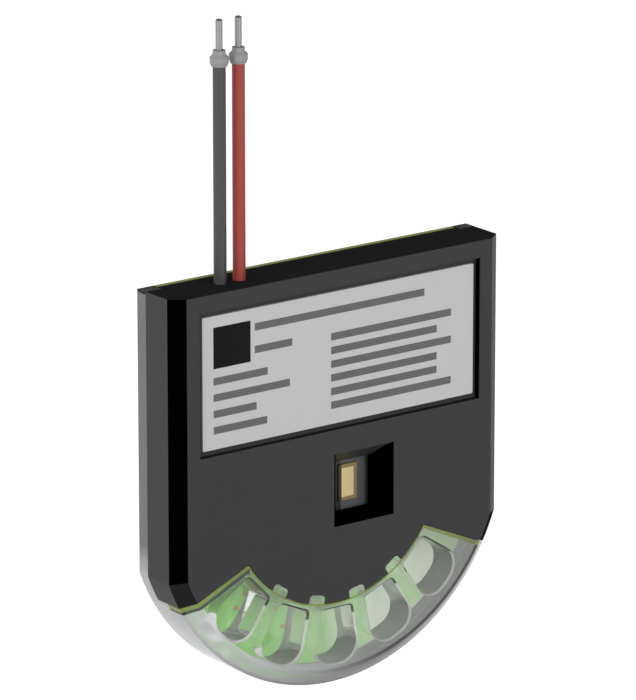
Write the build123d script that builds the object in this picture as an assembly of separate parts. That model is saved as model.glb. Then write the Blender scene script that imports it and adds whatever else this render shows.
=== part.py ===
from build123d import *
import math
import os

# Enclosure leak sensor. Millimetres, +Z up, front face towards -Y.
# The origin is on the flat back, at the centre of the round foot.

# Body outline: straight top and sides over a round foot
body_width = 54.0
foot_bulge = 1.8
shoulder_height = 28.5
bevel_width = 1.95
bevel_depth = 1.6
back_round = 0.3

# Clear base: back plate, rails for the board and the foot's prism ring
plate_thickness = 1.0
rail_width = 2.4
ring_offset = -0.8
ring_half_angle = 57.0
ring_end_slope = 24.5
ring_inner_radius = 17.1
ring_clearance = 0.1
ring_web = 0.8
foot_wall = 3.1
pocket_count = 5
pocket_floor = 2.0
pocket_outer_round = 2.6
pocket_inner_round = 0.5
pocket_edge_bevel = 0.25
rib_thickness = 2.5
tooth_reach = 1.1
tooth_round = 0.5

# Black front cover
cover_wall = 1.8
cover_front = 2.8
component_room = 3.6
cover_end_wall = 1.4
lip_clearance = 0.1
pillar_radius = 1.5
pillar_side_inset = 5.6
pillar_top_inset = 5.0
pillar_low_height = 2.5

# Label in its recess
label_side_margin = 4.0
label_top_margin = 2.35
label_to_window = 3.4
label_recess_depth = 0.9
label_gap = 0.75
label_thickness = 0.4
label_corner = 0.2

# Status window: a step with two side ledges, a sloped funnel, then a short straight throat
window_offset = 3.67
window_level = -1.7
window_width = 9.9
window_height = 10.0
window_step = 0.2
window_ledge = 0.35
window_slope_depth = 3.5
throat_width = 6.0
throat_height = 7.0
throat_shift = 0.75
throat_drop = 0.9
window_rim_wall = 1.3
window_rim_height = 1.3

# Circuit board
board_thickness = 1.0
board_clearance = 0.1
board_top_gap = 0.1

# Status lamp and the grey holder around it
lamp_width = 3.0
lamp_height = 5.0
lamp_head_gap = 0.5
lamp_frame = 0.5
lamp_lens_depth = 0.5
lamp_clearance = 0.1
holder_margin = 1.2
holder_step = 0.2
holder_corner = 0.6

# Light emitters and receivers at the inner ends of the ribs
optic_width = 4.0
optic_length = 1.6
optic_head_gap = 0.9
optic_lens_radius = 1.0
optic_gap = 0.2

# Chip packages with bent legs, and plain chips
leg_width = 0.4
leg_thickness = 0.2
leg_reach = 0.9
leg_foot = 0.5
package_standoff = 0.1
controller_body = (4.0, 8.6, 1.5)
controller_legs = 7
controller_pitch = 1.27
controller_place = (-9.0, -1.5)
switch_body = (1.6, 3.0, 1.1)
switch_legs = 2
switch_pitch = 1.9
switch_x = 11.5
switch_below_top = 19.5
diode_body = (4.4, 2.6, 2.2)
diode_edge = 0.3
diode_below_top = 15.6
regulator_body = (6.5, 3.5, 1.7)
regulator_edge = 0.3
regulator_x = -1.0
regulator_below_top = 10.5
capacitor_body = (3.2, 1.6, 1.6)
supply_capacitor_x = 8.0
supply_capacitors_below_top = (6.5, 10.0)
controller_capacitor_rise = 8.5
resistor_body = (2.0, 1.25, 0.6)
optic_resistor_xs = (-3.0, 0.0)
optic_resistor_rise = 0.45
lamp_resistor_offset = (6.58, -0.4)
supply_resistor_xs = (11.5, 8.0)
supply_resistors_below_top = 15.0
chip_edge = 0.12

# Leads, with their crimped ferrules
lead_radius = 0.86
lead_hole_clearance = 0.1
lead_side_inset = 10.15
lead_pitch = 3.05
lead_front_gap = 0.28
lead_free_length = 28.8
lead_inside_length = 3.6
collar_mouth_radius = 1.05
collar_flange_radius = 1.24
collar_neck_radius = 0.84
collar_mouth_height = 0.5
collar_flange_height = 0.7
collar_slope_height = 0.4
collar_height = 2.1
collar_bore_clearance = 0.02
pin_radius = 0.46
pin_root_radius = 0.63
pin_free_length = 4.05
pin_tip_chamfer = 0.15
joint_width = 2.2
joint_height = 2.6
joint_draft = 12.0

# Values that follow from the sizes above
half_width = body_width / 2
foot_radius = half_width + foot_bulge
split_level = plate_thickness + board_thickness + board_clearance
board_face = plate_thickness + board_thickness
front_wall_back = board_face + component_room
body_depth = front_wall_back + cover_front
pocket_pitch = 2 * ring_half_angle / pocket_count
ring_corner_x = ring_inner_radius * math.sin(math.radians(ring_half_angle))
ring_corner_drop = ring_inner_radius * math.cos(math.radians(ring_half_angle))
ring_peak = ring_corner_x * math.tan(math.radians(ring_end_slope)) - ring_corner_drop
ring_place = Pos(ring_offset, 0)
pocket_inner_radius = ring_inner_radius + ring_clearance + ring_web
pocket_outer_radius = foot_radius - foot_wall
pocket_length = pocket_outer_radius - pocket_inner_radius
pocket_bottom = split_level + pocket_floor
tooth_radius = ring_inner_radius - tooth_reach
window_top = window_level + window_height / 2
label_top = shoulder_height - label_top_margin
label_bottom = window_top + label_to_window
label_height = label_top - label_bottom
label_width = body_width - 2 * label_side_margin
label_level = body_depth - label_recess_depth
throat_back = front_wall_back - window_rim_height
lamp_rise = throat_back - lamp_head_gap - board_face
holder_rise = lamp_rise - holder_step
optic_rise = component_room - optic_head_gap
optic_front_radius = tooth_radius - optic_gap - optic_lens_radius
lead_level = front_wall_back - lead_front_gap - lead_radius
window_centre = (window_offset, window_level)
throat_centre = (window_offset + throat_shift, window_level - throat_drop)
black_lead_x = lead_side_inset - half_width
red_lead_x = black_lead_x + lead_pitch
lead_middle = (black_lead_x + red_lead_x) / 2
lead_top = shoulder_height + lead_free_length
lead_bottom = shoulder_height - cover_wall - lead_inside_length
beyond = 2 * (body_width + shoulder_height)
towards_front = Vector(0, -1, 0)


def slab(sketch, back, front):
    """A flat piece of the body, between two distances from the back."""
    placed = Plane.XZ.offset(back) * sketch
    return extrude(placed, front - back, dir=towards_front)


def polar(radius, angle):
    """A point at an angle about the foot's centre."""
    turn = math.radians(angle)
    return (radius * math.cos(turn), radius * math.sin(turn))


def fanned(count):
    """Angles of a row of features, spread by the pocket pitch about straight down."""
    return [-90 + (i - (count - 1) / 2) * pocket_pitch for i in range(count)]


# Shared outlines
def body_outline(inset=0.0, top=shoulder_height):
    half = half_width - inset
    radius = foot_radius - inset
    crease = -math.sqrt(radius**2 - half**2)
    sides = Polyline((half, crease), (half, top), (-half, top), (-half, crease))
    foot = ThreePointArc((-half, crease), (0, -radius), (half, crease))
    return make_face(sides + foot)


def foot_sector(inset=0.0, gap=0.0):
    """The part of the foot that the prism ring takes, its end faces moved in by an inset."""
    peak = ring_peak - inset / math.cos(math.radians(ring_end_slope))
    right = polar(beyond, -ring_end_slope)
    left = (-right[0], right[1])
    wedge = make_face(Polyline((0, peak), left, (0, peak - beyond), right, close=True))
    return ring_place * (wedge - Circle(ring_inner_radius + gap))


def tooth_outline(gap=0.0):
    """A rib's inner end, along +X, widened by a gap."""
    start = tooth_radius - gap
    end = pocket_inner_radius
    bar = Pos((start + end) / 2, 0) * Rectangle(end - start, rib_thickness + 2 * gap)
    return fillet(bar.vertices().sort_by(Axis.X)[:2], tooth_round + gap)


def tooth_outlines(gap=0.0):
    tooth = tooth_outline(gap)
    return [ring_place * Rot(0, 0, angle) * tooth for angle in fanned(pocket_count - 1)]


def pocket_outline():
    """One pocket along +X: two sides parallel to the ribs, a flat end and a round end."""
    spread = math.radians(pocket_pitch / 2)

    def half_at(distance):
        return distance * math.tan(spread) - rib_thickness / 2 / math.cos(spread)

    near = half_at(pocket_inner_radius)
    far = half_at(foot_radius)
    fan = make_face(
        Polyline(
            (pocket_inner_radius, -near),
            (foot_radius, -far),
            (foot_radius, far),
            (pocket_inner_radius, near),
            close=True,
        )
    )
    pocket = fan & Circle(pocket_outer_radius)
    outer_round = min(pocket_outer_round, pocket_length / 2 - pocket_inner_round)
    pocket = fillet(pocket.vertices().sort_by(Axis.X)[-2:], outer_round)
    return fillet(pocket.vertices().sort_by(Axis.X)[:2], pocket_inner_round)


def body_envelope():
    """The whole body, with the bevel round its front and the rounded edge at its back."""
    bevel_level = body_depth - bevel_depth
    full = Plane.XZ.offset(bevel_level) * body_outline()
    narrow = Plane.XZ.offset(body_depth) * body_outline(bevel_width)
    block = slab(body_outline(), 0, bevel_level) + loft([full, narrow], ruled=True)
    back = block.faces().sort_by(Axis.Y)[-1]
    return fillet(back.edges(), back_round)


envelope = body_envelope()


# Clear base: plate, rails and prism ring moulded in one
def base_housing():
    tray = envelope & slab(body_outline(), 0, split_level)
    ring_sketch = foot_sector(ring_clearance, ring_clearance)
    for tooth in tooth_outlines():
        ring_sketch += tooth
    base = tray + (envelope & slab(ring_sketch, 0, body_depth))
    open_top = shoulder_height + beyond
    base -= slab(body_outline(rail_width, open_top), plate_thickness, split_level)
    pocket = pocket_outline()
    for angle in fanned(pocket_count):
        base -= slab(ring_place * Rot(0, 0, angle) * pocket, pocket_bottom, body_depth)
    front = base.faces().filter_by(Axis.Y).sort_by(Axis.Y)[0]
    rims = [edge for wire in front.inner_wires() for edge in wire.edges()]
    return chamfer(rims, pocket_edge_bevel)


# Black front cover: an open-backed shell with the label recess and the window
def window_funnel():
    step_level = body_depth - window_step
    neck_level = step_level - window_slope_depth
    step = Pos(*window_centre) * Rectangle(window_width, window_height)
    mouth = Pos(*window_centre) * Rectangle(window_width - 2 * window_ledge, window_height)
    throat = Pos(*throat_centre) * Rectangle(throat_width, throat_height)
    slopes = loft([Plane.XZ.offset(step_level) * mouth, Plane.XZ.offset(neck_level) * throat])
    return slab(step, step_level, body_depth) + slopes + slab(throat, throat_back, neck_level)


def pillar_places():
    x = half_width - pillar_side_inset
    high = shoulder_height - pillar_top_inset
    return [(-x, high), (x, high), (-x, pillar_low_height), (x, pillar_low_height)]


def top_lip():
    """The part of the top wall that reaches back between the rails and closes the board's slot."""
    width = body_width - 2 * (rail_width + lip_clearance)
    lip = Pos(0, shoulder_height - cover_wall / 2) * Rectangle(width, cover_wall)
    return slab(lip, plate_thickness + lip_clearance, split_level)


def front_cover():
    cover = envelope & slab(body_outline(), split_level, body_depth)
    cover -= slab(foot_sector(), split_level, body_depth)
    for notch in tooth_outlines(ring_clearance):
        cover -= slab(notch, split_level, body_depth)
    hollow = body_outline(cover_wall, shoulder_height - cover_wall)
    hollow -= foot_sector(-cover_end_wall)
    cover -= slab(hollow, split_level, front_wall_back)
    rim = Rectangle(throat_width + 2 * window_rim_wall, throat_height + 2 * window_rim_wall)
    cover += slab(Pos(*throat_centre) * rim, throat_back, front_wall_back)
    for place in pillar_places():
        cover += slab(Pos(*place) * Circle(pillar_radius), split_level, front_wall_back)
    cover += top_lip()
    cover -= window_funnel()
    recess = Pos(0, (label_top + label_bottom) / 2) * Rectangle(label_width, label_height)
    cover -= slab(recess, label_level, body_depth)
    for x in (black_lead_x, red_lead_x):
        hole = Cylinder(lead_radius + lead_hole_clearance, cover_wall * 2)
        cover -= Pos(x, -lead_level, shoulder_height - cover_wall / 2) * hole
    return cover


def label_plate():
    width = label_width - 2 * label_gap
    height = label_height - 2 * label_gap
    plate = Pos(0, (label_top + label_bottom) / 2) * RectangleRounded(width, height, label_corner)
    return slab(plate, label_level, label_level + label_thickness)


# Circuit board and what is soldered to it
def circuit_board():
    outline = body_outline(rail_width + board_clearance, shoulder_height - cover_wall - board_top_gap)
    return slab(outline, plate_thickness, board_face)


def on_board(place, turn=0.0):
    """A place on the board's front, where a component's own +Z stands towards the front."""
    return Plane.XZ.offset(board_face) * Pos(*place) * Rot(0, 0, turn)


def lamp_lens():
    lens_width = lamp_width - 2 * lamp_frame
    lens_height = lamp_height - 2 * lamp_frame
    lens_middle = lamp_rise - lamp_lens_depth / 2
    lens = Pos(0, 0, lens_middle) * Box(lens_width, lens_height, lamp_lens_depth)
    return on_board(throat_centre) * lens


def lamp_body():
    block = Pos(0, 0, lamp_rise / 2) * Box(lamp_width, lamp_height, lamp_rise)
    return on_board(throat_centre) * block - lamp_lens()


def lamp_holder():
    width = throat_width + 2 * holder_margin
    height = throat_height + 2 * holder_margin
    frame = RectangleRounded(width, height, holder_corner)
    frame -= Rectangle(lamp_width + 2 * lamp_clearance, lamp_height + 2 * lamp_clearance)
    return on_board(throat_centre) * extrude(frame, holder_rise)


def rib_optic(angle):
    """A side-looking optic, its half-round lens towards a rib's inner end."""
    front = optic_front_radius
    centre = front - optic_length / 2
    middle = optic_rise / 2
    block = Pos(centre, 0, middle) * Box(optic_length, optic_width, optic_rise)
    lens = Pos(front, 0, middle) * Cylinder(optic_lens_radius, optic_rise)
    return on_board((ring_offset, 0), angle) * (block + lens)


def legged_package(body, legs, pitch):
    """A moulded chip with bent legs along its two long sides, standing on its feet."""
    width, length, rise = body
    middle = package_standoff + (rise - package_standoff) / 2
    chip = Pos(0, 0, middle) * Box(width, length, rise - package_standoff)
    outer = width / 2 + leg_reach
    heel = outer - leg_foot
    section = Polyline(
        (0, middle),
        (heel, middle),
        (heel, 0),
        (outer, 0),
        (outer, leg_thickness),
        (heel + leg_thickness, leg_thickness),
        (heel + leg_thickness, middle + leg_thickness),
        (0, middle + leg_thickness),
        close=True,
    )
    leg = extrude(Plane.XZ * make_face(section), leg_width / 2, both=True)
    for i in range(legs):
        along = (i - (legs - 1) / 2) * pitch
        for turn in (0, 180):
            chip += Rot(0, 0, turn) * Pos(0, along, 0) * leg
    return chip


def plain_chip(body, edge):
    """A block-shaped component with softened upright edges and top."""
    length, width, rise = body
    chip = Pos(0, 0, rise / 2) * Box(length, width, rise)
    return chamfer(chip.edges().group_by(Axis.Z)[-1], edge)


def below_top(x, distance):
    """A place on the board, measured down from the top of the body."""
    return (x, shoulder_height - distance)


def capacitor_places():
    """Two for the supply near the top, and the controller's own one above it."""
    controller_x, controller_level = controller_place
    supply = [below_top(supply_capacitor_x, distance) for distance in supply_capacitors_below_top]
    return supply + [(controller_x, controller_level + controller_capacitor_rise)]


def resistor_places():
    """A row half way between the lamp holder and the optics, one beside the lamp, and two for the supply."""
    lamp_x, lamp_level = throat_centre
    holder_bottom = lamp_level - throat_height / 2 - holder_margin
    optic_back_radius = optic_front_radius - optic_length
    row_level = (holder_bottom - optic_back_radius) / 2 + optic_resistor_rise
    beside_x, beside_level = lamp_resistor_offset
    places = [(x, row_level) for x in optic_resistor_xs]
    places.append((lamp_x + beside_x, lamp_level + beside_level))
    return places + [below_top(x, supply_resistors_below_top) for x in supply_resistor_xs]


def chips(body, places):
    chip = plain_chip(body, chip_edge)
    return Compound(children=[on_board(place) * chip for place in places])


def solder_joint(x):
    """The solder that holds a lead's stripped end on the board, under the lead."""
    rise = lead_level + lead_radius - board_face
    pad = Rectangle(joint_width, joint_height)
    bead = extrude(pad, rise, taper=joint_draft)
    return on_board((x, lead_bottom - joint_height / 2)) * bead


# Leads and ferrules
def lead(x):
    length = lead_top - lead_bottom
    return Pos(x, -lead_level, lead_bottom + length / 2) * Cylinder(lead_radius, length)


def ferrule_collar(x):
    """The sleeve over the end of the lead: mouth, flange, slope and neck."""
    flange_low = collar_mouth_height
    flange_high = flange_low + collar_flange_height
    neck_low = flange_high + collar_slope_height
    bore_low = pin_root_radius + collar_bore_clearance
    bore_high = pin_radius + collar_bore_clearance
    section = make_face(
        Polyline(
            (bore_low, 0),
            (collar_mouth_radius, 0),
            (collar_flange_radius, flange_low),
            (collar_flange_radius, flange_high),
            (collar_neck_radius, neck_low),
            (collar_neck_radius, collar_height),
            (bore_high, collar_height),
            close=True,
        )
    )
    return Pos(x, -lead_level, lead_top) * revolve(Plane.XZ * section, Axis.Z)


def ferrule_pin(x):
    """The tin-plated tube: a flared root inside the collar, then the free pin."""
    length = collar_height + pin_free_length
    section = make_face(
        Polyline(
            (0, 0),
            (pin_root_radius, 0),
            (pin_radius, collar_height),
            (pin_radius, length - pin_tip_chamfer),
            (pin_radius - pin_tip_chamfer, length),
            (0, length),
            close=True,
        )
    )
    return Pos(x, -lead_level, lead_top) * revolve(Plane.XZ * section, Axis.Z)


def both_leads():
    pieces = {}
    for colour, x in (("black", black_lead_x), ("red", red_lead_x)):
        pieces[colour + "_lead"] = lead(x)
        pieces[colour + "_ferrule_collar"] = ferrule_collar(x)
        pieces[colour + "_ferrule_pin"] = ferrule_pin(x)
    return pieces


def rib_optics():
    """Each pair of neighbouring ribs has one emitter and one receiver."""
    pieces = {}
    for i, angle in enumerate(fanned(pocket_count - 1)):
        kind = "light_emitter" if i % 2 == 0 else "light_receiver"
        pieces[f"{kind}_{i // 2 + 1}"] = rib_optic(angle)
    return pieces


def all_pieces():
    diode_place = below_top(lead_middle, diode_below_top)
    switch_place = below_top(switch_x, switch_below_top)
    regulator_place = below_top(regulator_x, regulator_below_top)
    pieces = {
        "base_housing": base_housing(),
        "front_cover": front_cover(),
        "label_plate": label_plate(),
        "circuit_board": circuit_board(),
        "status_lamp_body": lamp_body(),
        "status_lamp_lens": lamp_lens(),
        "status_lamp_holder": lamp_holder(),
        "controller_chip": on_board(controller_place) * legged_package(
            controller_body, controller_legs, controller_pitch
        ),
        "output_switch": on_board(switch_place) * legged_package(
            switch_body, switch_legs, switch_pitch
        ),
        "input_diode": on_board(diode_place) * plain_chip(diode_body, diode_edge),
        "voltage_regulator": on_board(regulator_place) * plain_chip(
            regulator_body, regulator_edge
        ),
        "chip_capacitors": chips(capacitor_body, capacitor_places()),
        "chip_resistors": chips(resistor_body, resistor_places()),
        "black_solder_joint": solder_joint(black_lead_x),
        "red_solder_joint": solder_joint(red_lead_x),
    }
    pieces.update(rib_optics())
    pieces.update(both_leads())
    return pieces


os.makedirs("parts", exist_ok=True)
for name, piece in all_pieces().items():
    export_step(piece, f"parts/{name}.step")
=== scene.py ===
import math

import bpy
from mathutils import Matrix, Vector


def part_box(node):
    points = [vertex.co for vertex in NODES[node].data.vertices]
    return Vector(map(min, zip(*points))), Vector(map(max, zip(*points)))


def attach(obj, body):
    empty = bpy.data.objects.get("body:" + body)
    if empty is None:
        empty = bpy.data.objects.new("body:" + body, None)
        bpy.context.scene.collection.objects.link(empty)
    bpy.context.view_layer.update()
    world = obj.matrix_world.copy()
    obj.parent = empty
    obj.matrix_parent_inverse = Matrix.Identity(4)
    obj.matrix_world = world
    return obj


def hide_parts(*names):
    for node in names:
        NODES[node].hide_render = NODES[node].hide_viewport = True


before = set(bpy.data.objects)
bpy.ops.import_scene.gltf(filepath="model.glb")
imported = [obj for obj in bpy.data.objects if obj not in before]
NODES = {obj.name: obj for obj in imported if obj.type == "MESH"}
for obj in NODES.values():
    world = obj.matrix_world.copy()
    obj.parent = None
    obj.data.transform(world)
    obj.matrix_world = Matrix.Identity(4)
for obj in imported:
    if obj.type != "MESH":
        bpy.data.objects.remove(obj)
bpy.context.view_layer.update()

bl_info = {
    "name": "Enclosure leak sensor",
    "version": (1, 0, 0),
    "blender": (4, 5, 0),
    "location": "3D View > Sidebar > Leak sensor",
    "description": "Dresses the solids of a flat leak sensor with its finishes, print, copper and leads",
    "category": "Object",
}

MM = 0.001
BODY = "root"

# Places taken from the solids, in metres
BODY_LOW, BODY_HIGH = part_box("base_housing")
FRONT = BODY_LOW.y
TOP = BODY_HIGH.z
FOOT_RADIUS = -BODY_LOW.z
LABEL_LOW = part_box("label_plate")[0]
BOARD_LOW, BOARD_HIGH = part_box("circuit_board")
HOLDER_LOW, HOLDER_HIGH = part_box("status_lamp_holder")
LENS_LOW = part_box("status_lamp_lens")[0]

# Clear ring: its middle, inner radius, end slope and the corner where an end meets the inner arc
RING_MIDDLE = Vector((-0.8 * MM, 0, 0))
RING_RADIUS = 17.1 * MM
RING_END_SLOPE = math.radians(24.5)
RING_HALF_ANGLE = math.radians(57)
RING_CORNER = RING_RADIUS * math.sin(RING_HALF_ANGLE)
RING_PEAK = RING_CORNER * math.tan(RING_END_SLOPE) - RING_RADIUS * math.cos(RING_HALF_ANGLE)

# Bands of the ring along the cover's cut-out: a line of painted light from the board, painted shade along the
# left end and painted shade on the pocket edges
LIT_BAND = 0.3 * MM
END_SHADE_BAND = 0.8 * MM
EDGE_SHADE_BAND = 2.2 * MM

# Zones of the clear base: side rails, foot, rim, outer wall, left to right painted shade, top and pocket
# floors
RAIL_INSIDE = 24.4 * MM
FOOT_FADE = (-6 * MM, -10 * MM)
RIM_START = 0.915 * FOOT_RADIUS
OUTER_START = 0.985 * FOOT_RADIUS
SHADE_SPAN = (-20 * MM, 8 * MM)
TOP_START = TOP - 0.4 * MM
POCKET_START = FRONT + 2 * MM
POCKET_END = BOARD_LOW.y - 0.1 * MM

# Share of the light that the clear base scatters, with a left and a right value where it changes
CLEAR_HAZE = (0.04, 0.22)
RIM_HAZE = (0.6, 0.75)
RAIL_HAZE = 0.6
OUTER_HAZE = 0.92
FLOOR_FADE = (0.6, 0.95)
FLOOR_HAZE = (0.04, 0.75)
EDGE_HAZE = 0.5
TOP_HAZE = 0.9
OUTER_GREY = (0.3, 0.6)
CLEAR_SHINE = (0.5, 0.1)
CLEAR_ROUGHNESS = (0.03, 0.08)
CLEAR_WAVES = 4 * MM
SHADOW_TINT = (0.95, 0.96, 0.95, 1)

# How far a face points along an axis where a mask starts or ends: the front is -1 on Y and the top is 1 on Z
BEVEL_STARTS = (-0.94, -0.88)
BEVEL_ENDS = (-0.4, -0.24)
LEFT_ENDS = (-0.32, -0.16)
UPRIGHT_STARTS = (-0.2, -0.08)
UP_STARTS = (0.8, 0.94)
DOWN_ENDS = (-0.16, -0.06)
BACK_STARTS = (0.4, 0.8)
POCKET_EDGE_STARTS = (-0.9, -0.8)
POCKET_EDGE_ENDS = (-0.6, -0.44)
FLOOR_ENDS = (-0.96, -0.9)
BOARD_EDGE_STARTS = (-0.9, -0.6)
BOARD_EDGE_ENDS = (0.6, 0.9)

# Cover: reach of the window's walls from the lamp, depth of a sunk face, and its finish
WINDOW_REACH = 8.6 * MM
SUNK_DEPTH = 0.1 * MM
COVER_CLOUD = 9 * MM
COVER_CLOUD_SHARE = 0.92
COVER_ROUGHNESS = (0.48, 0.6)
COVER_SHINE = 0.18
COVER_BUMP = {"Strength": 0.12, "Distance": 0.02 * MM}

# Other finishes
POLYCARBONATE_IOR = 1.585
INSULATION_IOR = 1.53
SPECKLE_BUMP = {"Strength": 0.1, "Distance": 0.01 * MM}
# Share of a colour left where the lamp's body and holder are painted in shade
DEEP_SHADE = 0.12
BOARD_CLOUD = 2.5 * MM
BOARD_CLOUD_SHARE = 0.8
BOARD_ROUGHNESS = (0.3, 0.45)
TRACK_PALENESS = 0.45
FIELD_SHINE = 0.1

# Thin films of ink and copper, with the tracks' pitch and half width in millimetres
TRACK_PITCH = 1.4
TRACK_HALF = 0.2
INK_THICKNESS = 0.02 * MM
PAD_THICKNESS = 0.04 * MM
TRACK_THICKNESS = 0.02 * MM
REAR_PAD_THICKNESS = 0.03 * MM

# Stage, in metres and watts
CAMERA_AIM = (1.892 * MM, 14.875 * MM)
CAMERA_LENS = 310.51
CAMERA_SENSOR = 36
CAMERA_REACH = 10
FLOOR_SIZE = 3
FLOOR_PAPER = (0.5, 0.5, 0.5, 1)
FLOOR_GLOW = 0.85
WHITE = (1, 1, 1, 1)
ROOM_LIGHT = 0.3
LAMP_SIZE = 0.9
LAMPS = (
    ("front_lamp", (0.1, -1.0, 0.2), 6.5),
    ("left_lamp", (-1.0, -0.25, 0.15), 7.0),
    ("back_lamp", (-0.55, 1.0, 0.2), 5.0),
)


def linear(hex_colour):
    """Linear red, green and blue of an sRGB hex colour."""
    parts = [int(hex_colour[i : i + 2], 16) / 255 for i in (1, 3, 5)]
    return tuple(c / 12.92 if c <= 0.04045 else ((c + 0.055) / 1.055) ** 2.4 for c in parts)


def colour(label, description, hex_colour):
    """A colour that a user can change."""
    return bpy.props.FloatVectorProperty(
        name=label, description=description, subtype="COLOR", size=3, min=0, max=1, default=linear(hex_colour)
    )


def length(label, description, millimetres):
    """A length that a user can change."""
    return bpy.props.FloatProperty(
        name=label, description=description, unit="LENGTH", precision=5, default=millimetres * MM
    )


def angle(label, description, degrees):
    """An angle that a user can change."""
    return bpy.props.FloatProperty(
        name=label, description=description, subtype="ANGLE", default=math.radians(degrees)
    )


class LeakSensorColours(bpy.types.PropertyGroup):
    """Colours of the finishes"""

    cover: colour("Cover", "Moulded front cover", "#393939")
    # Painted shade: black painted on the left bevel, the label recess's right wall and the window walls, and
    # a painted reflection of the cover on the rail tops
    painted_black_shade: colour("Polished cover", "Left bevel, window walls and tops of the side rails", "#020202")
    # Painted shade: a darker grey painted on the cover's top and on the bevel round its foot
    painted_dim_shade: colour("Smooth cover", "Top of the cover and the bevel round its foot", "#282828")
    clear: colour("Clear base", "Tint of the clear moulding", "#f0f3ee")
    frost: colour("Frosted rim", "Matt outer wall of the clear moulding", "#e6e7e9")
    # Painted shade: the rim darkens towards the right, and the edges next to the cover and along the ring's
    # left end are painted dark
    painted_grey_shade: colour("Shaded rim", "Right end of the outer wall, and edges next to the cover", "#383a38")
    rail: colour("Side rails", "Rails of the clear moulding beside the cover", "#7c7e7c")
    # Painted highlight on the pocket edges
    edge_highlight: colour("Clear edges", "Edges of the pockets, which catch the light", "#eef0ec")
    label: colour("Label film", "Silver film of the label", "#d0d0d0")
    ink: colour("Label print", "Ink of the plain bars on the label", "#626262")
    square: colour("Label square", "Ink of the square field on the label", "#0d0d0d")
    board: colour("Board", "Solder mask of the circuit board", "#70c030")
    # The board's bare edge colour, also used as painted light from the board on the top of the clear base and
    # the line along the cover
    core: colour("Board edge", "Bare edge of the circuit board", "#96a048")
    copper: colour("Copper", "Bare copper on the board", "#8c6408")
    epoxy: colour("Chips", "Moulded bodies of the chips", "#2a2a2b")
    ceramic: colour("Capacitors", "Fired bodies of the capacitors", "#b39a70")
    solder: colour("Solder", "Solder under the leads", "#b4b6b8")
    emitter: colour("Emitters", "Clear resin of the light emitters", "#d9d8cc")
    receiver: colour("Receivers", "Dark resin of the light receivers", "#22232c")
    lamp: colour("Lamp lens", "Cast lens of the status lamp", "#ffe6a8")
    lamp_body: colour("Lamp body", "Moulded body of the status lamp", "#a08a5c")
    holder: colour("Lamp holder", "Moulding round the status lamp", "#606063")
    red: colour("Red lead", "Insulation of the red lead", "#a23a30")
    black: colour("Black lead", "Insulation of the black lead", "#3c3c3c")
    collar: colour("Ferrule collar", "Sleeve of each ferrule", "#9c9c9c")
    pin: colour("Ferrule pin", "Tin plating of each ferrule", "#8e8e8c")


class LeakSensorSizes(bpy.types.PropertyGroup):
    """Sizes of the finishes, the leads and the view"""

    edge: length("Moulded edge", "Rounding of the moulded edges", 0.12)
    grain: length("Moulded grain", "Spacing of the cover's fine grain", 0.35)
    lead_diameter: length("Lead", "Diameter over the insulation", 1.72)
    camera_distance: length("Camera distance", "From the camera to the body", 801.35)
    camera_azimuth: angle("Camera azimuth", "Turn of the camera about the body", 37.089)
    camera_elevation: angle("Camera elevation", "Height of the camera above level", 16.199)


def sizes():
    """The panel's sizes."""
    return bpy.context.scene.leak_sensor_sizes


def paint(name):
    """One of the panel's colours, with its alpha."""
    return (*getattr(bpy.context.scene.leak_sensor_colours, name), 1.0)


def dimmed(tint, share):
    """A colour with a share of its light, which may be more than all of it."""
    return (*[min(1, c * share) for c in tint[:3]], 1.0)


# Materials
def new_material(name):
    """An empty node material."""
    m = bpy.data.materials.new(name)
    m.use_nodes = True
    m.node_tree.nodes.clear()
    return m


def add_node(m, kind, *values, out=None, named=None, **settings):
    """Adds a node to a material and gives its first output, or those that out names.

    Values fill the inputs that show, in order, and named ones go by name.
    Each is a plain value or another node's output.
    """
    made = m.node_tree.nodes.new("ShaderNode" + kind)
    for name, setting in settings.items():
        setattr(made, name, setting)
    filled = list(zip([socket for socket in made.inputs if socket.enabled], values))
    filled += [(made.inputs[name], value) for name, value in (named or {}).items()]
    for socket, value in filled:
        if isinstance(value, bpy.types.NodeSocket):
            m.node_tree.links.new(value, socket)
        else:
            socket.default_value = value
    if isinstance(out, tuple):
        return [made.outputs[name] for name in out]
    if out:
        return made.outputs[out]
    return next((socket for socket in made.outputs if socket.enabled), None)


def overlap(m, *masks):
    """The places that all of the masks cover."""
    shared = masks[0]
    for mask in masks[1:]:
        shared = add_node(m, "Math", shared, mask, operation="MULTIPLY")
    return shared


def either(m, *masks):
    """The places that any of the masks covers."""
    joined = masks[0]
    for mask in masks[1:]:
        joined = add_node(m, "Math", joined, mask, operation="MAXIMUM")
    return joined


def layered(m, tint, *layers):
    """A colour with others painted over it in order, each where its mask is."""
    for mask, layer in layers:
        tint = add_node(m, "Mix", mask, tint, layer, data_type="RGBA")
    return tint


def flat_distance(m, place, centre):
    """Distance from a centre, seen from the front."""
    offset = add_node(m, "VectorMath", place, centre, operation="SUBTRACT")
    flat = add_node(m, "VectorMath", offset, (1, 0, 1), operation="MULTIPLY")
    return add_node(m, "VectorMath", flat, operation="LENGTH")


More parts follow.
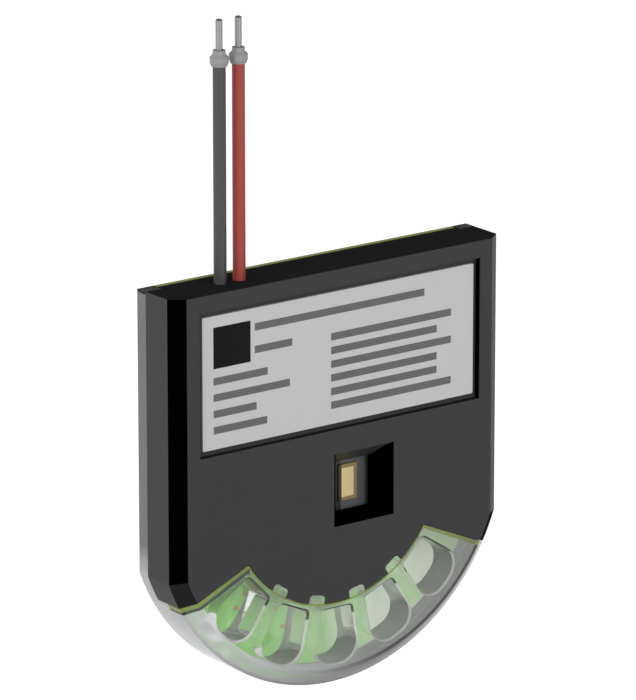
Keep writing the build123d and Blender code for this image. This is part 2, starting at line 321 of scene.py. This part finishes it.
def near_cut_out(m, place, reach):
    """A mask of the ring's front along the cover's cut-out: its inner arc and its two ends."""
    offset = add_node(m, "VectorMath", place, RING_MIDDLE, operation="SUBTRACT")
    x, y, z = add_node(m, "SeparateXYZ", offset, out=("X", "Y", "Z"))
    from_arc = add_node(m, "Math", flat_distance(m, place, RING_MIDDLE), RING_RADIUS, operation="SUBTRACT")
    outside_arc = add_node(m, "Math", from_arc, 0.0, operation="GREATER_THAN")
    at_arc = add_node(m, "Math", from_arc, reach, operation="LESS_THAN")
    sideways = add_node(m, "Math", x, operation="ABSOLUTE")
    drop = add_node(m, "Math", sideways, math.tan(RING_END_SLOPE), operation="MULTIPLY")
    peak = RING_PEAK - reach / math.cos(RING_END_SLOPE)
    line = add_node(m, "Math", peak, drop, operation="SUBTRACT")
    at_end = add_node(m, "Math", z, line, operation="GREATER_THAN")
    in_front = add_node(m, "Math", y, FRONT / 2, operation="LESS_THAN")
    return overlap(m, either(m, at_arc, at_end), outside_arc, in_front)


def moulded_black_polycarbonate():
    """Injection moulded polycarbonate: an even dark grey with a fine spark-eroded grain.

    The left bevel, the label recess's right wall and the window's walls are painted black, a painted shade,
    and have no shine.
    The top and the bevel round the foot are painted darker, a painted shade, and have no shine.
    The real grain is finer, and is drawn as coarse as it needs to show.
    """
    m = new_material("moulded_black_polycarbonate")
    place, facing = add_node(m, "TexCoord", out=("Object", "Normal"))
    x, y = add_node(m, "SeparateXYZ", place, out=("X", "Y"))
    facing_x, facing_y, facing_z = add_node(m, "SeparateXYZ", facing, out=("X", "Y", "Z"))
    grain = add_node(m, "TexNoise", place, 1 / sizes().grain, named={"Detail": 2}, out="Fac")
    cloud = add_node(m, "TexNoise", place, 1 / COVER_CLOUD, named={"Detail": 1}, out="Fac")

    off_front = add_node(m, "MapRange", facing_y, *BEVEL_STARTS, 0, 1)
    off_side = add_node(m, "MapRange", facing_y, *BEVEL_ENDS, 1, 0)
    bevelled = overlap(m, off_front, off_side)
    leftwards = add_node(m, "MapRange", facing_x, *LEFT_ENDS, 1, 0)
    upright = add_node(m, "MapRange", facing_z, *UPRIGHT_STARTS, 0, 1)
    upwards = add_node(m, "MapRange", facing_z, *UP_STARTS, 0, 1)
    downwards = add_node(m, "MapRange", facing_z, *DOWN_ENDS, 1, 0)
    not_down = add_node(m, "MapRange", facing_z, *DOWN_ENDS, 0, 1)

    from_lamp = flat_distance(m, place, (HOLDER_LOW + HOLDER_HIGH) / 2)
    window = add_node(m, "Math", from_lamp, WINDOW_REACH, operation="LESS_THAN")
    past_window = add_node(m, "Math", 1.0, window, operation="SUBTRACT")
    sunk = add_node(m, "Math", y, FRONT + SUNK_DEPTH, operation="GREATER_THAN")
    past_label_edge = add_node(m, "Math", x, LABEL_LOW.x, operation="GREATER_THAN")

    # Painted shade: the left bevel, the label recess's right wall and the window's walls are painted black
    left_bevel = overlap(m, bevelled, leftwards, upright)
    recess_wall = overlap(m, leftwards, upright, sunk, past_label_edge)
    window_walls = overlap(m, window, sunk, not_down)
    black_shaded_faces = either(m, left_bevel, recess_wall, window_walls)
    # Painted shade: the top and the bevel round the foot are painted a darker grey
    foot_bevel = overlap(m, downwards, bevelled)
    dim_shaded_faces = overlap(m, either(m, upwards, foot_bevel), past_window)

    cover = paint("cover")
    tint = layered(
        m, cover,
        (cloud, dimmed(cover, COVER_CLOUD_SHARE)),
        (dim_shaded_faces, paint("painted_dim_shade")),
        (black_shaded_faces, paint("painted_black_shade")),
    )
    shader = add_node(
        m, "BsdfPrincipled",
        named={
            "Base Color": tint,
            "Roughness": add_node(m, "MapRange", grain, 0, 1, *COVER_ROUGHNESS),
            "Normal": add_node(m, "Bump", named={"Height": grain, **COVER_BUMP}),
            "IOR": POLYCARBONATE_IOR,
            "Specular IOR Level": add_node(m, "MapRange", either(m, black_shaded_faces, dim_shaded_faces), 0, 1, COVER_SHINE, 0),
        },
    )
    add_node(m, "OutputMaterial", shader)
    return m


def clear_polycarbonate():
    """Clear moulded polycarbonate: polished prisms show the board, and a frosted rim and edges look grey.

    The rim is painted pale at the left and dark at the right, a painted shade for its surroundings, and the
    outer wall is painted greyer towards the right, also a painted shade.
    The top of the back plate and the line along the cover are painted olive, painted light from the board.
    """
    m = new_material("clear_polycarbonate")
    place, facing = add_node(m, "TexCoord", out=("Object", "Normal"))
    x, y, z = add_node(m, "SeparateXYZ", place, out=("X", "Y", "Z"))
    facing_y = add_node(m, "SeparateXYZ", facing, out="Y")
    waves = add_node(m, "TexNoise", place, 1 / CLEAR_WAVES, named={"Detail": 1}, out="Fac")
    radius = flat_distance(m, place, (0, 0, 0))

    forwards = add_node(m, "MapRange", facing_y, *BACK_STARTS, 1, 0)
    foot = add_node(m, "MapRange", z, *FOOT_FADE, 0, 1)
    above_foot = add_node(m, "MapRange", z, *FOOT_FADE, 1, 0)
    side = add_node(m, "MapRange", x, *SHADE_SPAN, 0, 1)
    # Painted shade that grows from left to right on the front-facing surfaces
    shade = overlap(m, side, forwards)

    rim = overlap(m, add_node(m, "Math", radius, RIM_START, operation="GREATER_THAN"), foot)
    outer = overlap(m, add_node(m, "Math", radius, OUTER_START, operation="GREATER_THAN"), foot, forwards)
    sideways = add_node(m, "Math", x, operation="ABSOLUTE")
    at_side = add_node(m, "Math", sideways, RAIL_INSIDE, operation="GREATER_THAN")
    rail = overlap(m, at_side, above_foot, forwards)
    top = add_node(m, "Math", z, TOP_START, operation="GREATER_THAN")
    # Painted reflection of the black cover on the tops of the clear side rails
    rail_top_shade = overlap(m, top, at_side)

    # Painted highlight on the pocket edges, with painted shade where they come near the cover
    off_front = add_node(m, "MapRange", facing_y, *POCKET_EDGE_STARTS, 0, 1)
    off_wall = add_node(m, "MapRange", facing_y, *POCKET_EDGE_ENDS, 1, 0)
    unfrosted = add_node(m, "Math", 1.0, either(m, rim, rail), operation="SUBTRACT")
    edges = overlap(m, off_front, off_wall, unfrosted)
    below_front = add_node(m, "Math", y, POCKET_START, operation="GREATER_THAN")
    before_board = add_node(m, "Math", y, POCKET_END, operation="LESS_THAN")
    floors = overlap(m, add_node(m, "MapRange", facing_y, *FLOOR_ENDS, 1, 0), below_front, before_board)
    # Painted light from the board along the cover's cut-out
    lit_line = near_cut_out(m, place, LIT_BAND)
    # Painted shade along the ring's left end, next to the cover
    at_left = add_node(m, "Math", x, RING_MIDDLE.x - RING_CORNER, operation="LESS_THAN")
    left_end_shade = overlap(m, near_cut_out(m, place, END_SHADE_BAND), at_left)

    # Painted shade colour for the rim's right end, the pocket edges near the cover and the ring's left end
    dark = paint("painted_grey_shade")
    # Painted shade: the outer wall is painted greyer towards the right
    outer_wall_shade = overlap(m, outer, add_node(m, "MapRange", side, 0, 1, *OUTER_GREY))
    tint = layered(
        m, paint("clear"),
        (rim, layered(m, paint("frost"), (shade, dark))),
        (outer_wall_shade, paint("rail")),
        (rail, paint("rail")),
        (edges, layered(m, paint("edge_highlight"), (near_cut_out(m, place, EDGE_SHADE_BAND), dark))),
        (left_end_shade, dark),
        (either(m, top, lit_line), paint("core")),
        (rail_top_shade, paint("painted_black_shade")),
    )

    rim_haze = overlap(m, rim, add_node(m, "MapRange", shade, 0, 1, *RIM_HAZE))
    haze = either(
        m,
        add_node(m, "MapRange", shade, 0, 1, *CLEAR_HAZE),
        overlap(m, outer, OUTER_HAZE),
        add_node(m, "Math", rim_haze, overlap(m, rail, RAIL_HAZE), operation="ADD"),
        overlap(m, floors, add_node(m, "MapRange", side, *FLOOR_FADE, *FLOOR_HAZE)),
        overlap(m, either(m, edges, lit_line, left_end_shade), EDGE_HAZE),
        overlap(m, top, TOP_HAZE),
    )
    shader = add_node(
        m, "BsdfPrincipled",
        named={
            "Base Color": tint,
            "Roughness": add_node(m, "MapRange", waves, 0, 1, *CLEAR_ROUGHNESS),
            "IOR": POLYCARBONATE_IOR,
            "Transmission Weight": add_node(m, "Math", 1.0, haze, operation="SUBTRACT"),
            "Specular IOR Level": add_node(m, "MapRange", either(m, outer, rail_top_shade), 0, 1, *CLEAR_SHINE),
        },
    )
    to_lamp = add_node(m, "LightPath", out="Is Shadow Ray")
    see_through = add_node(m, "BsdfTransparent", SHADOW_TINT)
    add_node(m, "OutputMaterial", add_node(m, "MixShader", to_lamp, shader, see_through))
    return m


def speckled(name, base, rough, spacing, shift, dark_before=None, named=None):
    """A moulded, cast or plated finish: one colour, clouded a little, with an uneven gloss.

    Left of dark_before, where one is given, it is painted in deep shade, a painted shadow.
    """
    m = new_material(name)
    place = add_node(m, "TexCoord", out="Object")
    cloud = add_node(m, "TexNoise", place, 1 / spacing, named={"Detail": 3}, out="Fac")
    tint = layered(m, dimmed(base, 1 - shift), (cloud, dimmed(base, 1 + shift)))
    if dark_before is not None:
        x = add_node(m, "SeparateXYZ", place, out="X")
        before = add_node(m, "Math", x, dark_before, operation="LESS_THAN")
        tint = layered(m, tint, (before, dimmed(base, DEEP_SHADE)))
    shader = add_node(
        m, "BsdfPrincipled",
        named={
            "Base Color": tint,
            "Roughness": add_node(m, "MapRange", cloud, 0, 1, *rough),
            "Normal": add_node(m, "Bump", named={"Height": cloud, **SPECKLE_BUMP}),
            **(named or {}),
        },
    )
    add_node(m, "OutputMaterial", shader)
    return m


def green_solder_mask():
    """Green lacquer over woven glass: a bright, slightly glossy green, and a bare olive edge."""
    m = new_material("green_solder_mask")
    place, facing = add_node(m, "TexCoord", out=("Object", "Normal"))
    facing_y = add_node(m, "SeparateXYZ", facing, out="Y")
    cloud = add_node(m, "TexNoise", place, 1 / BOARD_CLOUD, named={"Detail": 3}, out="Fac")
    off_front = add_node(m, "MapRange", facing_y, *BOARD_EDGE_STARTS, 0, 1)
    off_back = add_node(m, "MapRange", facing_y, *BOARD_EDGE_ENDS, 1, 0)
    green = paint("board")
    tint = layered(
        m, dimmed(green, BOARD_CLOUD_SHARE), (cloud, green), (overlap(m, off_front, off_back), paint("core"))
    )
    rough = add_node(m, "MapRange", cloud, 0, 1, *BOARD_ROUGHNESS)
    shader = add_node(m, "BsdfPrincipled", named={"Base Color": tint, "Roughness": rough})
    add_node(m, "OutputMaterial", shader)
    return m


def dress(node, material):
    """Gives a CAD node one finish all over."""
    for slot in NODES[node].material_slots:
        slot.material = material


# Modelling
def deselect():
    """Leaves edit mode, with nothing selected."""
    if bpy.context.object and bpy.context.object.mode != "OBJECT":
        bpy.ops.object.mode_set(mode="OBJECT")
    bpy.ops.object.select_all(action="DESELECT")


def pick(piece):
    """Selects one object alone."""
    deselect()
    piece.select_set(True)
    bpy.context.view_layer.objects.active = piece


def fine_copy(node, name, edge, keep_degrees):
    """A copy of a solid with its triangles merged, its edges rounded and its curves smooth."""
    merge_distance = 0.001 * MM
    flat_degrees = 0.2
    piece = NODES[node].copy()
    piece.data = NODES[node].data.copy()
    piece.name = name
    piece.parent = None
    for key in list(piece.keys()):
        del piece[key]
    bpy.context.scene.collection.objects.link(piece)
    pick(piece)
    bpy.ops.object.mode_set(mode="EDIT")
    bpy.ops.mesh.select_all(action="SELECT")
    bpy.ops.mesh.remove_doubles(threshold=merge_distance)
    bpy.ops.mesh.dissolve_limited(angle_limit=math.radians(flat_degrees))
    bpy.ops.object.mode_set(mode="OBJECT")
    bevel = piece.modifiers.new("edges", "BEVEL")
    bevel.width = edge
    bevel.segments = 2
    bevel.limit_method = "ANGLE"
    bevel.angle_limit = math.radians(keep_degrees)
    bpy.ops.object.modifier_apply(modifier=bevel.name)
    bpy.ops.object.shade_smooth_by_angle(angle=math.radians(keep_degrees))
    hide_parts(node)
    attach(piece, BODY)
    return piece


def film(name, fields, level, thickness, material):
    """Flat fields of ink or copper at one depth: each is left, bottom, right and top, in millimetres."""
    upright = (math.pi / 2, 0, 0)
    deselect()
    bpy.ops.mesh.primitive_plane_add(size=1, rotation=upright)
    piece = bpy.context.object
    piece.name = name
    bpy.ops.object.transform_apply(rotation=True)
    bpy.ops.object.mode_set(mode="EDIT")
    bpy.ops.mesh.select_all(action="SELECT")
    bpy.ops.mesh.delete(type="VERT")
    for field in fields:
        left, bottom, right, top = [value * MM for value in field]
        middle = ((left + right) / 2, level, (bottom + top) / 2)
        bpy.ops.mesh.primitive_plane_add(size=1, location=middle, rotation=upright)
        bpy.ops.transform.resize(value=(right - left, 1, top - bottom))
    bpy.ops.object.mode_set(mode="OBJECT")
    solid = piece.modifiers.new("thickness", "SOLIDIFY")
    solid.thickness = thickness
    solid.offset = 1
    bpy.ops.object.modifier_apply(modifier=solid.name)
    piece.data.materials.append(material)
    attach(piece, BODY)
    return piece


def lead_curve(name, x, y, low, high, diameter):
    """One straight insulated lead, as a smooth tube along its route."""
    shares = (0, 0.25, 0.6, 1)
    curve = bpy.data.curves.new(name, "CURVE")
    curve.dimensions = "3D"
    spline = curve.splines.new("NURBS")
    spline.points.add(len(shares) - 1)
    for point, share in zip(spline.points, shares):
        point.co = (x, y, low + (high - low) * share, 1)
    spline.order_u = 3
    spline.use_endpoint_u = True
    curve.bevel_depth = diameter / 2
    curve.bevel_resolution = 6
    curve.use_fill_caps = True
    piece = bpy.data.objects.new(name, curve)
    bpy.context.scene.collection.objects.link(piece)
    return piece


class SENSOR_OT_stage(bpy.types.Operator):
    """Camera at the photograph's angle, pale floor and soft studio light"""

    bl_idname = "sensor.stage"
    bl_label = "Stage"

    def execute(self, context):
        aim = self.add_camera(context)
        self.add_floor(context)
        self.add_lights(context, aim)
        context.scene.view_settings.view_transform = "Standard"
        return {"FINISHED"}

    def add_camera(self, context):
        """Sets the camera, and gives the point that it looks at."""
        turn = sizes().camera_azimuth
        tilt = sizes().camera_elevation
        away = Vector((-math.sin(turn) * math.cos(tilt), -math.cos(turn) * math.cos(tilt), math.sin(tilt)))
        right = Vector((math.cos(turn), -math.sin(turn), 0))
        up = away.cross(right)
        aim = right * CAMERA_AIM[0] + up * CAMERA_AIM[1]
        camera = bpy.data.cameras.new("camera")
        camera.lens = CAMERA_LENS
        camera.sensor_width = CAMERA_SENSOR
        camera.clip_end = CAMERA_REACH
        eye = bpy.data.objects.new("camera", camera)
        context.scene.collection.objects.link(eye)
        turned = Matrix((right, up, away)).transposed().to_4x4()
        eye.matrix_world = Matrix.Translation(aim + away * sizes().camera_distance) @ turned
        context.scene.camera = eye
        return aim

    def add_floor(self, context):
        """White paper that glows where it or its image is seen, and lights the object as plain paper does."""
        deselect()
        bpy.ops.mesh.primitive_plane_add(size=FLOOR_SIZE, location=(0, 0, BODY_LOW.z))
        floor = context.object
        floor.name = "floor"
        bpy.ops.object.transform_apply(location=True)
        m = new_material("white_paper_floor")
        rays = add_node(m, "LightPath", out=("Is Camera Ray", "Is Glossy Ray", "Is Transmission Ray"))
        seen = either(m, *rays)
        paper = add_node(m, "BsdfDiffuse", FLOOR_PAPER)
        lit = add_node(m, "AddShader", paper, add_node(m, "Emission", WHITE, FLOOR_GLOW))
        add_node(m, "OutputMaterial", add_node(m, "MixShader", seen, paper, lit))
        floor.data.materials.append(m)

    def add_lights(self, context, aim):
        """An even white room with three large lamps."""
        world = bpy.data.worlds.new("studio")
        world.use_nodes = True
        room = world.node_tree.nodes["Background"].inputs
        room["Color"].default_value = WHITE
        room["Strength"].default_value = ROOM_LIGHT
        context.scene.world = world
        for name, place, power in LAMPS:
            light = bpy.data.lights.new(name, "AREA")
            light.size = LAMP_SIZE
            light.energy = power
            lamp = bpy.data.objects.new(name, light)
            lamp.location = place
            lamp.rotation_euler = (aim - Vector(place)).to_track_quat("-Z", "Y").to_euler()
            context.scene.collection.objects.link(lamp)


class SENSOR_OT_leads(bpy.types.Operator):
    """Red and black leads up to their ferrules"""

    bl_idname = "sensor.leads"
    bl_label = "Leads"

    def execute(self, context):
        diameter = sizes().lead_diameter
        for name in ("black", "red"):
            low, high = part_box(name + "_lead")
            middle = (low + high) / 2
            piece = lead_curve(name + "_lead_wire", middle.x, middle.y, low.z, high.z, diameter)
            insulation = speckled(
                name + "_extruded_insulation", paint(name), rough=(0.42, 0.55), spacing=1.2 * MM, shift=0.08,
                named={"IOR": INSULATION_IOR},
            )
            piece.data.materials.append(insulation)
            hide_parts(name + "_lead")
            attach(piece, BODY)
        collar = speckled(
            "grey_moulded_collar", paint("collar"), rough=(0.4, 0.55), spacing=0.8 * MM, shift=0.06
        )
        tin = speckled(
            "tin_plated_copper", paint("pin"), rough=(0.3, 0.45), spacing=0.5 * MM, shift=0.05,
            named={"Metallic": 1.0},
        )
        for name in ("black", "red"):
            dress(name + "_ferrule_collar", collar)
            dress(name + "_ferrule_pin", tin)
        return {"FINISHED"}


class SENSOR_OT_housing(bpy.types.Operator):
    """Clear base and black cover"""

    bl_idname = "sensor.housing"
    bl_label = "Housing"

    def execute(self, context):
        cover = self.moulding("front_cover", "cover_shell", moulded_black_polycarbonate())
        base = self.moulding("base_housing", "clear_base", clear_polycarbonate())
        return {"FINISHED"}

    def moulding(self, node, name, material):
        """A moulding with softened edges and one material: creases under 12 degrees stay smooth."""
        piece = fine_copy(node, name, sizes().edge, keep_degrees=12)
        piece.data.materials.clear()
        piece.data.materials.append(material)
        return piece


class SENSOR_OT_board(bpy.types.Operator):
    """Circuit board and the components on it"""

    bl_idname = "sensor.board"
    bl_label = "Board"

    def execute(self, context):
        dress("circuit_board", green_solder_mask())
        self.add_copper()
        self.add_tracks()
        epoxy = speckled(
            "moulded_black_epoxy", paint("epoxy"), rough=(0.5, 0.65), spacing=0.4 * MM, shift=0.1
        )
        for node in (
            "controller_chip", "output_switch", "input_diode", "voltage_regulator", "chip_resistors",
        ):
            dress(node, epoxy)
        ceramic = speckled("fired_ceramic", paint("ceramic"), rough=(0.4, 0.55), spacing=0.4 * MM, shift=0.1)
        dress("chip_capacitors", ceramic)
        solder = speckled(
            "reflowed_solder", paint("solder"), rough=(0.25, 0.4), spacing=0.6 * MM, shift=0.05,
            named={"Metallic": 1.0},
        )
        for lead in ("black", "red"):
            dress(lead + "_solder_joint", solder)
        clear = speckled(
            "clear_cast_resin", paint("emitter"), rough=(0.12, 0.2), spacing=0.6 * MM, shift=0.04
        )
        dark = speckled(
            "dark_cast_resin", paint("receiver"), rough=(0.12, 0.2), spacing=0.6 * MM, shift=0.04
        )
        for i in (1, 2):
            dress(f"light_emitter_{i}", clear)
            dress(f"light_receiver_{i}", dark)
        return {"FINISHED"}

    def add_copper(self):
        """Bare copper pads on the board's front, under the pockets."""
        places = ((-11.76, -15.29), (-13.4, -16.9), (-5.68, -21.0), (2.83, -21.33))
        half_width = 0.45
        half_height = 0.27
        pads = [(x - half_width, z - half_height, x + half_width, z + half_height) for x, z in places]
        copper = speckled("bare_copper", paint("copper"), rough=(0.35, 0.5), spacing=0.8 * MM, shift=0.1)
        piece = film("copper_pads", pads, BOARD_LOW.y, PAD_THICKNESS, copper)

    def add_tracks(self):
        """Tracks and pads on the board's rear, seen through the clear back: a bent run and a straight run."""
        tracks = []
        ends = []
        self.bent_run(tracks, ends)
        self.straight_run(tracks, ends)
        half = 0.5
        pads = [(x - half, z - half, x + half, z + half) for x, z in ends]
        paler = [c + (k - c) * TRACK_PALENESS for c, k in zip(paint("board"), paint("clear"))]
        lacquered = speckled("lacquered_copper", paler, rough=(0.3, 0.45), spacing=1.5 * MM, shift=0.08)
        tinned = speckled("tinned_pad", paint("collar"), rough=(0.35, 0.5), spacing=0.8 * MM, shift=0.08)
        for name, fields, thickness, material in (
            ("rear_tracks", tracks, TRACK_THICKNESS, lacquered),
            ("rear_pads", pads, REAR_PAD_THICKNESS, tinned),
        ):
            piece = film(name, fields, BOARD_HIGH.y + thickness, thickness, material)

    def bent_run(self, tracks, ends):
        """Tracks that come down from the leads, turn at a corner each, and stop on a slant."""
        count = 7
        first_corner_x = -17
        first_corner_z = -6
        top = 21
        reach = 5
        for i in range(count):
            x = first_corner_x + i * TRACK_PITCH
            z = first_corner_z + i * TRACK_PITCH
            stop = reach + x / 2
            tracks.append((x - TRACK_HALF, z + TRACK_HALF, x + TRACK_HALF, top))
            tracks.append((x - TRACK_HALF, z - TRACK_HALF, stop, z + TRACK_HALF))
            ends += [(x, top), (stop, z)]

    def straight_run(self, tracks, ends):
        """Upright tracks at the right, each a little lower than the one before it."""
        count = 4
        first_x = 14
        first_low = -7
        low_step = 2
        first_high = 19
        for i in range(count):
            x = first_x + i * TRACK_PITCH
            low = first_low - low_step * i
            high = first_high - i
            tracks.append((x - TRACK_HALF, low, x + TRACK_HALF, high))
            ends += [(x, low), (x, high)]


class SENSOR_OT_lamp(bpy.types.Operator):
    """Status lamp in the window"""

    bl_idname = "sensor.lamp"
    bl_label = "Status lamp"

    def execute(self, context):
        lens = speckled("cast_cream_resin", paint("lamp"), rough=(0.2, 0.3), spacing=0.8 * MM, shift=0.05)
        dress("status_lamp_lens", lens)
        for node, name, tint in (
            ("status_lamp_body", "moulded_tan_plastic", paint("lamp_body")),
            ("status_lamp_holder", "moulded_grey_plastic", paint("holder")),
        ):
            # Painted shadow of the window's left wall on the lamp's body and holder, left of the lens
            moulded = speckled(
                name, tint, rough=(0.45, 0.55), spacing=0.6 * MM, shift=0.06, dark_before=LENS_LOW.x
            )
            dress(node, moulded)
        return {"FINISHED"}


class SENSOR_OT_label(bpy.types.Operator):
    """Silver label with its print"""

    bl_idname = "sensor.label"
    bl_label = "Label"

    def execute(self, context):
        silver = speckled(
            "satin_silver_film", paint("label"), rough=(0.35, 0.45), spacing=1.5 * MM, shift=0.03
        )
        dress("label_plate", silver)
        ink = speckled("printed_bars", paint("ink"), rough=(0.45, 0.55), spacing=0.7 * MM, shift=0.15)
        dark = speckled(
            "printed_square_field", paint("square"), rough=(0.5, 0.6), spacing=0.7 * MM, shift=0.15,
            named={"Specular IOR Level": FIELD_SHINE},
        )
        square = (-20.5, 18.3, -14.55, 23.85)
        for name, fields, material in (
            ("printed_bars", self.bars(), ink),
            ("square_field", [square], dark),
        ):
            piece = film(name, fields, LABEL_LOW.y, INK_THICKNESS, material)
        return {"FINISHED"}

    def bars(self):
        """Plain bars in a heading and two columns: each row is its middle height, left end and right end."""
        half = 0.5
        rows = [(22.85, -13.85, 14.0), (19.8, -13.85, -7.8)]
        rows += self.column(-20.5, 16.6, 2.2, (-11.8, -8.2, -13.6, -11.9))
        rows += self.column(-1.45, 19.35, 1.87, (18.5, 16.1, 18.5, 16.1, 16.1, 18.5))
        return [(start, height - half, end, height + half) for height, start, end in rows]

    def column(self, start, top, pitch, ends):
        """Rows that share a left end, from the top down."""
        return [(top - pitch * i, start, end) for i, end in enumerate(ends)]


class SENSOR_PT_panel(bpy.types.Panel):
    """Sizes, colours and steps of the leak sensor"""

    bl_idname = "SENSOR_PT_panel"
    bl_label = "Leak sensor"
    bl_space_type = "VIEW_3D"
    bl_region_type = "UI"
    bl_category = "Leak sensor"

    def draw(self, context):
        for group in (context.scene.leak_sensor_sizes, context.scene.leak_sensor_colours):
            for key in group.bl_rna.properties.keys():
                if key not in ("rna_type", "name"):
                    self.layout.prop(group, key)
        for operator in OPERATORS:
            self.layout.operator(operator.bl_idname)


OPERATORS = (
    SENSOR_OT_stage,
    SENSOR_OT_leads,
    SENSOR_OT_housing,
    SENSOR_OT_board,
    SENSOR_OT_lamp,
    SENSOR_OT_label,
)
CLASSES = (LeakSensorColours, LeakSensorSizes, *OPERATORS, SENSOR_PT_panel)


def register():
    for made in CLASSES:
        bpy.utils.register_class(made)
    bpy.types.Scene.leak_sensor_colours = bpy.props.PointerProperty(type=LeakSensorColours)
    bpy.types.Scene.leak_sensor_sizes = bpy.props.PointerProperty(type=LeakSensorSizes)


def unregister():
    del bpy.types.Scene.leak_sensor_sizes
    del bpy.types.Scene.leak_sensor_colours
    for made in reversed(CLASSES):
        bpy.utils.unregister_class(made)


def main():
    register()
    bpy.ops.sensor.stage()
    bpy.ops.sensor.leads()
    bpy.ops.sensor.housing()
    bpy.ops.sensor.board()
    bpy.ops.sensor.lamp()
    bpy.ops.sensor.label()


if __name__ == "__main__":
    main()
